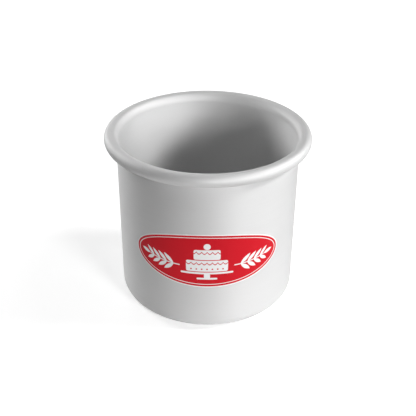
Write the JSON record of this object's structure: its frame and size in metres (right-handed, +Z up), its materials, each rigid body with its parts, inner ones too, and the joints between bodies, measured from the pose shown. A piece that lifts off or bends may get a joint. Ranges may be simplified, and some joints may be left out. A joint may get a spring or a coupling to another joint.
{
  "type": "round cake tin",
  "caption": "Deep straight-sided round baking tin in satin aluminium with a rolled rim bead and an oval adhesive label on the front wall.",
  "frame": {"origin": "centre of the underside of the base, on the tin's axis", "axes": "+Z up along the tin's axis, out of its mouth; the label faces -Y"},
  "size_m": [0.0882, 0.0882, 0.0772],
  "materials": {
    "anodised_aluminium": "satin anodised, fine and even, with no polish",
    "printed_film": "printed self-adhesive film, red with white ornament and a white edge"
  },
  "bodies": {
    "root": {"tin": "anodised_aluminium", "label": "printed_film"}
  },
  "joints": []
}
